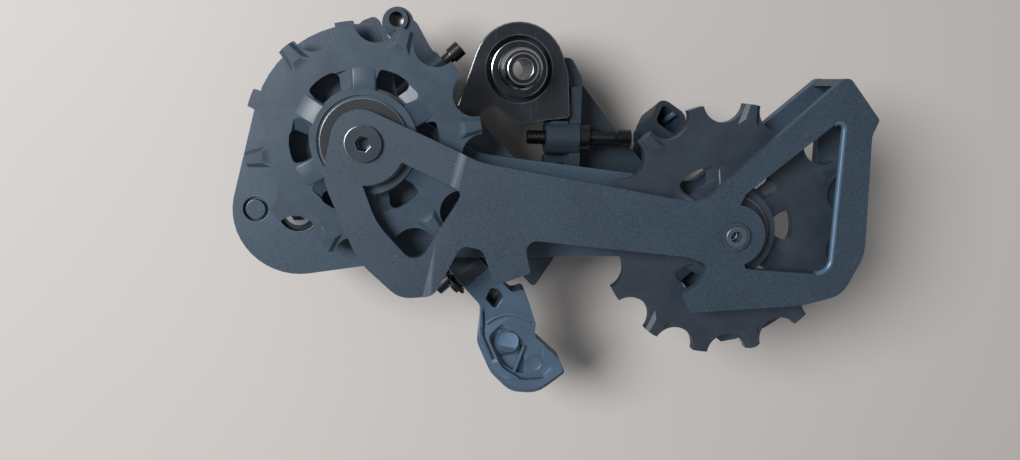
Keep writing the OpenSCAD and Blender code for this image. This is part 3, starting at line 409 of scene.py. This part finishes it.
def hang(piece, node, *coats):
    """The piece wears these materials and rides with the node's body."""
    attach(piece, body_of(node))
    wear(piece, node, *coats)


def dress(node, coat):
    """A CAD node shown as it is, in this material."""
    held = frame["nodes"][node].data.materials
    held.clear()
    held.append(coat)


def solid_copy(node, name):
    """New piece with a copy of the node's solid, alone selected."""
    piece = bpy.data.objects.new(name, frame["nodes"][node].data.copy())
    scene.collection.objects.link(piece)
    alone(piece)
    return piece


def merge_all():
    """In edit mode, points that lie on each other become one, and all is selected."""
    bpy.ops.mesh.select_all(action="SELECT")
    bpy.ops.mesh.remove_doubles(threshold=MERGE)


def pick(piece, test):
    """In edit mode, the points that pass the test are selected, with the edges and faces between them."""
    bpy.ops.mesh.select_mode(type="VERT")
    bpy.ops.mesh.select_all(action="DESELECT")
    leave_edit()
    for point in piece.data.vertices:
        point.select = bool(test(point.co))
    enter_edit()


def pick_edges(piece, test):
    """In edit mode, the edges whose two end points pass the test are selected."""
    bpy.ops.mesh.select_mode(type="EDGE")
    bpy.ops.mesh.select_all(action="DESELECT")
    leave_edit()
    points = piece.data.vertices
    for line in piece.data.edges:
        first, second = line.vertices
        line.select = bool(test(points[first].co, points[second].co))
    enter_edit()


def open_rings(piece):
    """In edit mode, each flat face that runs round a hole is cut along the line that joins it to itself."""
    most_cuts = 200
    for _ in range(most_cuts):
        bpy.ops.mesh.select_mode(type="FACE")
        bpy.ops.mesh.select_all(action="DESELECT")
        leave_edit()
        mesh = piece.data
        plane = None
        for face in mesh.polygons:
            lines = [mesh.loops[i].edge_index for i in face.loop_indices]
            if len(set(lines)) < len(lines):
                joint = next(line for line in lines if lines.count(line) > 1)
                start, stop = (mesh.vertices[v].co.copy() for v in mesh.edges[joint].vertices)
                plane = (start, (stop - start).cross(face.normal).normalized())
                face.select = True
                break
        enter_edit()
        if plane is None:
            break
        bpy.ops.mesh.bisect(plane_co=plane[0], plane_no=plane[1], threshold=MERGE / 4)
    bpy.ops.mesh.select_all(action="SELECT")


def eased(node, width, coat, edge, sharp=32, shape=None):
    """The node's solid with its sharp edges broken, the new edge faces in a lighter finish that is a
    painted edge highlight.
    """
    piece = solid_copy(node, node + "_eased")
    hang(piece, node, coat, edge)
    enter_edit()
    merge_all()
    bpy.ops.mesh.dissolve_limited(angle_limit=FLAT)
    open_rings(piece)
    if shape:
        shape(piece)
    leave_edit()
    broken = piece.modifiers.new("edge", "BEVEL")
    broken.width = width * MM
    broken.segments = 2
    broken.limit_method = "ANGLE"
    broken.angle_limit = math.radians(sharp)
    # The bevel faces take the lighter material, a painted edge highlight.
    broken.material = HIGHLIGHT_SLOT
    broken.use_clamp_overlap = True
    bpy.ops.object.modifier_apply(modifier=broken.name)
    smooth()
    flats = piece.modifiers.new("flats", "WEIGHTED_NORMAL")
    flats.keep_sharp = True
    bpy.ops.object.modifier_apply(modifier=flats.name)
    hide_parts(node)
    return piece


def cut(piece, tool):
    """The tool's form taken out of the piece."""
    alone(piece)
    taken = piece.modifiers.new("cut", "BOOLEAN")
    taken.object = tool
    taken.solver = "EXACT"
    bpy.ops.object.modifier_apply(modifier=taken.name)
    bpy.data.objects.remove(tool)


def rib(name, start, stop, width, high, soft):
    """Bar between two points, with its edges rounded."""
    way = stop - start
    bar = fresh(bpy.ops.mesh.primitive_cube_add, size=1, location=(start + stop) / 2,
                rotation=(0, 0, math.atan2(way.y, way.x)))
    bar.name = name
    bar.scale = (way.length + width * MM, width * MM, high * MM)
    settle()
    enter_edit()
    bpy.ops.mesh.select_all(action="SELECT")
    soften(soft * MM, 3)
    leave_edit()
    smooth()
    return bar


def puck(name, radius, thick, rim, sunk, place, lean=Matrix()):
    """Round plug with a rim round a sunk face, at a place and a lean."""
    plug = fresh(bpy.ops.mesh.primitive_cylinder_add, vertices=48, radius=radius * MM, depth=thick * MM)
    plug.name = name
    enter_edit()
    pick(plug, lambda point: point.z > 0)
    bpy.ops.mesh.inset(thickness=rim * MM)
    bpy.ops.transform.translate(value=(0, 0, -sunk * MM))
    leave_edit()
    plug.data.transform(Matrix.Translation(place) @ lean)
    smooth()
    return plug


def ridge(piece, foot, way, core, crest, pitch, turns):
    """Screw thread wound on a core along way from foot, joined to the piece."""
    sunk, flank, steps = 0.12 * MM, 0.42, 28
    wound_on = fresh(bpy.ops.mesh.primitive_circle_add, vertices=3, radius=1, rotation=(math.pi / 2, 0, 0))
    settle()
    low = core - sunk
    corners = ((low, -flank * pitch), (low, flank * pitch), (crest, 0))
    for point, (out, along) in zip(wound_on.data.vertices, corners):
        point.co = (out, 0, along)
    winding = wound_on.modifiers.new("winding", "SCREW")
    winding.axis = "Z"
    winding.screw_offset = pitch
    winding.iterations = turns
    winding.steps = winding.render_steps = steps
    bpy.ops.object.modifier_apply(modifier=winding.name)
    enter_edit()
    merge_all()
    bpy.ops.mesh.fill_holes(sides=4)
    bpy.ops.mesh.normals_make_consistent(inside=False)
    leave_edit()
    turn = way.to_track_quat("Z", "Y").to_matrix().to_4x4()
    wound_on.matrix_world = Matrix.Translation(foot) @ turn
    settle()
    smooth(40)
    # The thread wears the piece's lighter edge material, a painted highlight on its crests.
    wound_on.data.materials.append(piece.data.materials[HIGHLIGHT_SLOT])
    joined(piece, [wound_on])


# Pulleys

def hipped_teeth(centre, root, tip, first, count):
    """Every second tooth of a pulley gets sloped flanks and a ramp towards the hub."""
    half_thick, half_wide = 2.05 * MM, 4 * MM
    foot = root - 0.8 * MM
    drawn_in = (0.7, 0.5, 1)

    def shape(piece):
        for tooth in range(count):
            turn = math.radians(first + 360 / count * tooth)
            out = Vector((math.cos(turn), math.sin(turn), 0))
            side = Vector((-out.y, out.x, 0))

            def on_top(point):
                away = point - centre
                near = away.dot(out) > foot and abs(away.dot(side)) < half_wide
                return near and abs(abs(away.z) - half_thick) < ON_PLANE
            pick(piece, on_top)
            bpy.ops.transform.resize(value=drawn_in, orient_type="GLOBAL", orient_matrix_type="GLOBAL",
                                     orient_matrix=(out, side, (0, 0, 1)),
                                     center_override=centre + out * tip)
    return shape


def gussets(pulley, node, centre, hub, rise, first):
    """Curved ramps on both faces of a pulley's six spokes, from its hub down to the web."""
    spokes, steps, curve = 6, 8, 2.6
    web, foot, slab = 1.16 * MM, 0.5 * MM, 0.5 * MM
    start, long, wide = hub - 0.5 * MM, 6.8 * MM, 5.4 * MM
    middle, near = foot + slab / 2, 0.05 * MM
    ramp = fresh(bpy.ops.mesh.primitive_cube_add, size=1)
    enter_edit()
    bpy.ops.transform.resize(value=(long, wide, slab))
    bpy.ops.transform.translate(value=(start + long / 2, 0, middle))
    pick_edges(ramp, lambda one, other: abs(one.x - other.x) > long / 2)
    bpy.ops.mesh.subdivide(number_cuts=steps - 1)
    for step in range(steps + 1):
        share = step / steps
        out = start + long * share
        high = web + (rise - web) * (1 - share) ** curve
        flare = 1 + 0.3 * (share - 0.35) ** 2 + 0.1 * share
        pick(ramp, lambda point: abs(point.x - out) < near and point.z > middle)
        bpy.ops.transform.translate(value=(0, 0, high - foot - slab))
        pick(ramp, lambda point: abs(point.x - out) < near)
        bpy.ops.transform.resize(value=(1, flare, 1), center_override=(0, 0, 0))
    pick_edges(ramp, lambda one, other: min(one.z, other.z) > middle and one.y * other.y > 0)
    soften(1.1 * MM, 5)
    leave_edit()
    smooth(50)
    copies = []
    for face in (1, -1):
        flip = Matrix.Diagonal((1, 1, face, 1))
        for spoke in range(spokes):
            turn = Matrix.Rotation(math.radians(first + 360 / spokes * spoke), 4, "Z")
            twin = bpy.data.objects.new(node + "_ramp", ramp.data.copy())
            scene.collection.objects.link(twin)
            twin.data.transform(Matrix.Translation(centre) @ turn @ flip)
            if face < 0:
                twin.data.flip_normals()
            twin.data.materials.append(pulley.data.materials[0])
            copies.append(twin)
    bpy.data.objects.remove(ramp)
    joined(pulley, copies)


# Cage

def window_lip():
    """Rolled lip on the far side of the cage plate's tail window."""
    turn = math.radians(-13.5)
    along = Vector((math.cos(turn), math.sin(turn), 0))
    across = Vector((-math.sin(turn), math.cos(turn), 0))
    high, low = Vector((17.2, 33.3)) * MM, Vector((26.0, -3.6)) * MM
    way = low - high
    face, reach = 7.1 * MM, 4 * MM
    tube, sunk = 0.75 * MM, 0.72 * MM

    def near(point):
        away = point - TENSION
        flat = Vector((away.dot(along), away.dot(across)))
        share = (flat - high).dot(way) / way.length_squared
        beside = (high + share * way - flat).length
        return abs(away.z - face) < ON_PLANE and 0.02 < share < 1 and beside < reach
    lip = solid_copy("inner_cage_plate", "window_lip")
    enter_edit()
    merge_all()
    bpy.ops.mesh.dissolve_limited(angle_limit=FLAT)
    pick_edges(lip, lambda one, other: near(one) and near(other))
    bpy.ops.mesh.select_all(action="INVERT")
    bpy.ops.mesh.delete(type="EDGE")
    bpy.ops.mesh.select_all(action="SELECT")
    bpy.ops.transform.translate(value=(0, 0, -sunk))
    leave_edit()
    bpy.ops.object.convert(target="CURVE")
    lip = bpy.context.object
    lip.data.bevel_depth = tube
    lip.data.bevel_resolution = 5
    lip.data.use_fill_caps = True
    bpy.ops.object.convert(target="MESH")
    lip = bpy.context.object
    smooth(50)
    # The lip wears the lighter edge material, a painted highlight along the window.
    hang(lip, "inner_cage_plate", slate_edge_highlight)


# Cable fin

def in_fin(across, along, high):
    """Point on the cable fin, from the link's lower eye, in millimetres."""
    turn = math.radians(42)
    x, y = across - 38.0, along - 30.0
    east = x * math.cos(turn) - y * math.sin(turn)
    north = x * math.sin(turn) + y * math.cos(turn)
    return Vector((east, north, high)) * MM


def fin_rim():
    """Rounded rim round the step of the cable fin."""
    hub, reach, tube = in_fin(-10, -21, 1.75), 8.8 * MM, 0.7 * MM
    start, sweep = math.radians(132), math.radians(80)
    bead = fresh(bpy.ops.mesh.primitive_circle_add, vertices=20, radius=tube, rotation=(math.pi / 2, 0, 0))
    bead.name = "fin_rim"
    settle()
    turn = Matrix.Rotation(start, 4, "Z")
    bead.data.transform(Matrix.Translation(hub) @ turn @ Matrix.Translation((reach, 0, 0)))
    enter_edit()
    bpy.ops.mesh.select_all(action="SELECT")
    bpy.ops.mesh.spin(steps=30, angle=sweep, center=hub, axis=(0, 0, 1))
    bpy.ops.mesh.select_all(action="SELECT")
    bpy.ops.mesh.fill_holes(sides=24)
    bpy.ops.mesh.normals_make_consistent(inside=False)
    leave_edit()
    smooth(40)
    hang(bead, "cable_fin", fin_coat)


def fin_details():
    """Cable fin with its slit, pocket divider, mould mark, disc, rim and blind socket."""
    fin = eased("cable_fin", 0.4, fin_coat, fin_edge_highlight)
    bends = [in_fin(-8.6, -9.6, 1.9), in_fin(-12.9, -14.6, 1.9), in_fin(-15.0, -20.6, 1.9)]
    for start, stop in zip(bends, bends[1:]):
        cut(fin, rib("cable_slit", start, stop, width=0.55, high=2.2, soft=0.05))
    divider = rib("fin_divider", in_fin(-7.4, -24.0, 0.2), in_fin(-13.4, -27.2, 0.2),
                  width=0.7, high=2.2, soft=0.25)
    hang(divider, "cable_fin", fin_coat)
    mark = puck("fin_mould_mark", radius=2.1, thick=0.6, rim=0.25, sunk=0.12,
                place=in_fin(-8.4, -29.2, 0.24))
    hang(mark, "cable_fin", fin_coat)
    disc = puck("fin_disc", radius=2.5, thick=0.9, rim=0.25, sunk=0.125, place=in_fin(-9, -19.8, 1.8),
                lean=Matrix.Rotation(math.radians(8), 4, (0.55, 0.83, 0)))
    # The disc wears the fin's lighter edge material, a painted highlight.
    hang(disc, "cable_fin", fin_edge_highlight)
    fin_rim()
    socket = rib("fin_socket_floor", in_fin(-4.9, -8.5, -3.3), in_fin(-3.1, -8.3, -3.3),
                 width=5.3, high=0.6, soft=0.2)
    hang(socket, "cable_fin", black_gloss)


# Mount and its screws

def housing_cup(knuckle):
    """Squared cup of the housing stop, with a guide rib down its wall."""
    turn = Matrix.Rotation(math.radians(57), 4, "Z") @ Matrix.Rotation(math.radians(33), 4, "Y")
    stop = Matrix.Translation(Vector((38.2, -14.6, -12)) * MM) @ turn
    wide, deep, middle, corner = 6.3 * MM, 7 * MM, 4.2 * MM, 1.5 * MM
    cup = fresh(bpy.ops.mesh.primitive_cube_add, size=1)
    enter_edit()
    bpy.ops.transform.resize(value=(wide, wide, deep))
    bpy.ops.transform.translate(value=(0, 0, middle))
    pick_edges(cup, lambda one, other: abs(one.z - other.z) > MM)
    soften(corner, 5)
    leave_edit()
    cup.data.transform(stop)
    cut(knuckle, cup)
    guide = fresh(bpy.ops.mesh.primitive_cylinder_add, vertices=24, radius=0.8 * MM, depth=5.6 * MM)
    guide.name = "housing_guide_rib"
    enter_edit()
    pick_edges(guide, lambda one, other: one.z > 0 and other.z > 0)
    soften(0.25 * MM, 3)
    leave_edit()
    guide.data.transform(stop @ Matrix.Translation(Vector((2.75, -0.7, 3.0)) * MM))
    smooth()
    # The rib wears the lighter edge material, a painted highlight inside the cup.
    hang(guide, "mount_knuckle", knuckle_edge)


def body_angle_screw():
    """Black screw whose thread runs from its tip to the neck under its head."""
    axis = Vector((0, -16.6, -4.0)) * MM
    tip, neck, shank, core_share = 3.0 * MM, 26.25 * MM, 2.05 * MM, 0.86

    def slim(piece):
        pick(piece, lambda point: point.x < neck and math.hypot(point.y - axis.y, point.z - axis.z) < shank)
        bpy.ops.transform.resize(value=(1, core_share, core_share), center_override=axis)
    piece = eased("b_screw", 0.18, black_steel, black_steel_edge_highlight, shape=slim)
    ridge(piece, axis + Vector((tip, 0, 0)), Vector((1, 0, 0)),
          core=1.68 * MM, crest=1.94 * MM, pitch=0.75 * MM, turns=30)


def hanger_bolt():
    """Hanger bolt with a fine thread past its seat, open through its middle."""
    seat, bore, head, core_share = -0.05 * MM, 3.5 * MM, -12 * MM, 0.91

    def slim(piece):
        pick(piece, lambda point: point.z > seat and math.hypot(point.x, point.y) > bore)
        bpy.ops.transform.resize(value=(core_share, core_share, 1), center_override=(0, 0, 0))
        pick(piece, lambda point: abs(point.z - head) < ON_PLANE)
        bpy.ops.mesh.delete(type="ONLY_FACE")
        bpy.ops.mesh.select_all(action="SELECT")
        bpy.ops.mesh.delete_loose()
    piece = eased("hanger_bolt", 0.2, dark_steel, dark_steel_edge_highlight, shape=slim)
    alone(piece)
    enter_edit()
    bpy.ops.mesh.select_mode(type="EDGE")
    bpy.ops.mesh.select_all(action="DESELECT")
    bpy.ops.mesh.select_non_manifold()
    bpy.ops.mesh.bridge_edge_loops()
    leave_edit()
    ridge(piece, Vector((0, 0, 0.6 * MM)), Vector((0, 0, 1)),
          core=4.5 * MM, crest=4.94 * MM, pitch=1.0 * MM, turns=6)


# Springs

def wound(node):
    """The spring's wire drawn round and smooth along its coil."""
    piece = solid_copy(node, node + "_wire")
    enter_edit()
    merge_all()
    bpy.ops.mesh.tris_convert_to_quads()
    leave_edit()
    wear(piece, node, wire_steel)
    rounder = piece.modifiers.new("round", "SUBSURF")
    rounder.levels = rounder.render_levels = 2
    bpy.ops.object.modifier_apply(modifier=rounder.name)
    bpy.ops.object.shade_smooth()
    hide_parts(node)
    return piece


# Finishes of the derailleur's pieces

SLATE = (0.0255, 0.0430, 0.0645)
CHARCOAL = (0.0262, 0.0436, 0.0635)
FIN = (0.084, 0.132, 0.195)
INK = (0.0115, 0.0140, 0.0185)
STEEL = (0.40, 0.41, 0.43)

# The lighter edge materials below go on the broken edges, thread crests, window lip, housing rib and fin
# disc as painted highlights.
slate_coat = powder_coat("slate_coat", SLATE, specks=0.16, rough=0.52)
pale_slate_coat = powder_coat("pale_slate_coat", shade(SLATE, 1.3), specks=0.16, rough=0.46)
slate_edge_highlight = satin_metal("slate_edge_highlight", shade(SLATE, 3.2), rough=0.36)
charcoal_coat = powder_coat("charcoal_coat", CHARCOAL, specks=0.1, rough=0.44)
charcoal_edge_highlight = satin_metal("charcoal_edge_highlight", shade(CHARCOAL, 3.0), rough=0.34)
# The mount knuckle's coat is the charcoal darkened to 0.62 as painted shade, for the shadow below the
# hanger plate and screw boss.
shaded_knuckle_coat = powder_coat("shaded_knuckle_coat", shade(CHARCOAL, 0.62), specks=0.1, rough=0.4)
knuckle_edge = satin_metal("knuckle_edge", shade(CHARCOAL, 2.4), rough=0.32)
fin_coat = satin_metal("fin_coat", FIN, rough=0.36, grain_scale=2400)
fin_edge_highlight = satin_metal("fin_edge_highlight", shade(FIN, 1.9), rough=0.3, grain_scale=2400)
black_gloss = gloss_black("black_gloss", INK, rough=0.24)
black_edge_highlight = gloss_black("black_edge_highlight", shade(INK, 4.0), rough=0.2)
pulley_nylon = moulded("pulley_nylon", (0.0295, 0.0515, 0.0765), rough=0.42)
pulley_edge_highlight = moulded("pulley_edge_highlight", (0.058, 0.090, 0.124), rough=0.38)
lower_nylon = moulded("lower_nylon", (0.024, 0.034, 0.050), rough=0.42)
lower_edge_highlight = moulded("lower_edge_highlight", (0.050, 0.074, 0.104), rough=0.38)
cover_nylon = moulded("cover_nylon", (0.03, 0.036, 0.042), rough=0.5)
cover_edge_highlight = moulded("cover_edge_highlight", (0.055, 0.064, 0.074), rough=0.45)
black_steel = turned_steel("black_steel", (0.05, 0.052, 0.056), rough=0.38)
black_steel_edge_highlight = turned_steel("black_steel_edge_highlight", (0.16, 0.165, 0.175), rough=0.3)
bare_steel = turned_steel("bare_steel", STEEL, rough=0.3)
dark_steel = turned_steel("dark_steel", (0.075, 0.082, 0.094), rough=0.27)
dark_steel_edge_highlight = turned_steel("dark_steel_edge_highlight", (0.62, 0.64, 0.67), rough=0.2)
steel_edge_highlight = turned_steel("steel_edge_highlight", shade(STEEL, 1.25), rough=0.22)
plated_bolt = satin_metal("plated_bolt", (0.034, 0.048, 0.062), rough=0.36)
plated_edge_highlight = turned_steel("plated_edge_highlight", (0.22, 0.25, 0.28), rough=0.3)
nut_plate = satin_metal("nut_plate", (0.070, 0.095, 0.125), rough=0.34)
nut_edge_highlight = turned_steel("nut_edge_highlight", (0.40, 0.44, 0.49), rough=0.28)
band_steel = turned_steel("band_steel", (0.26, 0.27, 0.29), rough=0.3)
wire_steel = turned_steel("wire_steel", (0.46, 0.47, 0.48), rough=0.28)
cap_dye = satin_metal("cap_dye", (0.030, 0.035, 0.040), rough=0.34)
cap_edge_highlight = satin_metal("cap_edge_highlight", (0.22, 0.24, 0.27), rough=0.28)
seal = rubber("seal", (0.016, 0.016, 0.018))


# Pieces

def coat_everything():
    """Each piece in its finish, with the width of its broken edges in millimetres."""
    eased("inner_cage_plate", 0.3, slate_coat, slate_edge_highlight, sharp=46)
    window_lip()
    eased("outer_cage_plate", 0.28, pale_slate_coat, slate_edge_highlight)
    eased("hanger_plate", 0.35, black_gloss, black_edge_highlight)
    housing_cup(eased("mount_knuckle", 0.35, shaded_knuckle_coat, knuckle_edge))
    # A black disc sunk in the knuckle's eye darkens it as painted shade.
    floor = puck("eye_shade_disc", radius=1.85, thick=1.2, rim=0.6, sunk=0.3,
                 place=Vector((-29.663, 11.282, -6.6)) * MM)
    hang(floor, "cage_knuckle", black_gloss)
    eased("cage_knuckle", 0.35, charcoal_coat, charcoal_edge_highlight)
    eased("inner_link", 0.3, slate_coat, slate_edge_highlight)
    eased("outer_link", 0.3, charcoal_coat, charcoal_edge_highlight)
    fin_details()
    pulley = eased("guide_pulley", 0.16, pulley_nylon, pulley_edge_highlight,
                   shape=hipped_teeth(GUIDE, root=20.9 * MM, tip=26.43 * MM, first=129.0, count=6))
    gussets(pulley, "guide_pulley", GUIDE, hub=11.8 * MM, rise=2.4 * MM, first=149.6)
    pulley = eased("tension_pulley", 0.16, lower_nylon, lower_edge_highlight,
                   shape=hipped_teeth(TENSION, root=24.9 * MM, tip=30.43 * MM, first=184.6, count=7))
    gussets(pulley, "tension_pulley", TENSION, hub=11.2 * MM, rise=2.6 * MM, first=30.3)
    eased("clutch_cover", 0.35, cover_nylon, cover_edge_highlight)
    eased("stop_pin", 0.15, slate_coat, slate_edge_highlight)
    for node in ("anchor_bolt", "anchor_washer"):
        eased(node, 0.2, bare_steel, steel_edge_highlight)
    eased("hanger_washer", 0.25, dark_steel, dark_steel_edge_highlight)
    hanger_bolt()
    body_angle_screw()
    for node in ("b_screw_collar", "high_limit_screw", "low_limit_screw", "axle_clip"):
        eased(node, 0.18, black_steel, black_steel_edge_highlight)
    eased("guide_bolt", 0.22, plated_bolt, plated_edge_highlight)
    eased("tension_bolt", 0.2, nut_plate, nut_edge_highlight)
    for node in ("guide_dust_caps", "tension_dust_caps"):
        eased(node, 0.15, cap_dye, cap_edge_highlight)
    for node in ("mount_pin_inner", "mount_pin_outer", "cage_pin_inner", "cage_pin_outer", "pin_clips"):
        eased(node, 0.12, black_steel, black_steel_edge_highlight)
    for node in ("cover_screws", "clutch_rollers", "clutch_hub", "cage_axle",
                 "guide_sleeve", "guide_bearing", "tension_sleeve", "tension_bearing"):
        dress(node, bare_steel)
    dress("clutch_band", band_steel)
    dress("pivot_seal", seal)
    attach(wound("cage_spring"), body_of("cage_spring"))
    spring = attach(wound("return_spring"), "inner_link")
    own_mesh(spring)


def bench():
    """Pale floor under the derailleur."""
    floor = fresh(bpy.ops.mesh.primitive_plane_add, size=6, location=(0, 0, cad_low.z))
    floor.name = "bench_top"
    settle()
    floor.data.materials.append(finish("bench_paint", bench_paint))


look_down()
bench()
room_light(strength=0.25, tint=(0.93, 0.97, 1.0))
soft_lamp("window", place=(-0.58, 0.20, 0.73), target=(-0.02, -0.01, 0.0), size=0.47, power=11.7,
          tint=(0.98, 0.99, 1.0))
coat_everything()
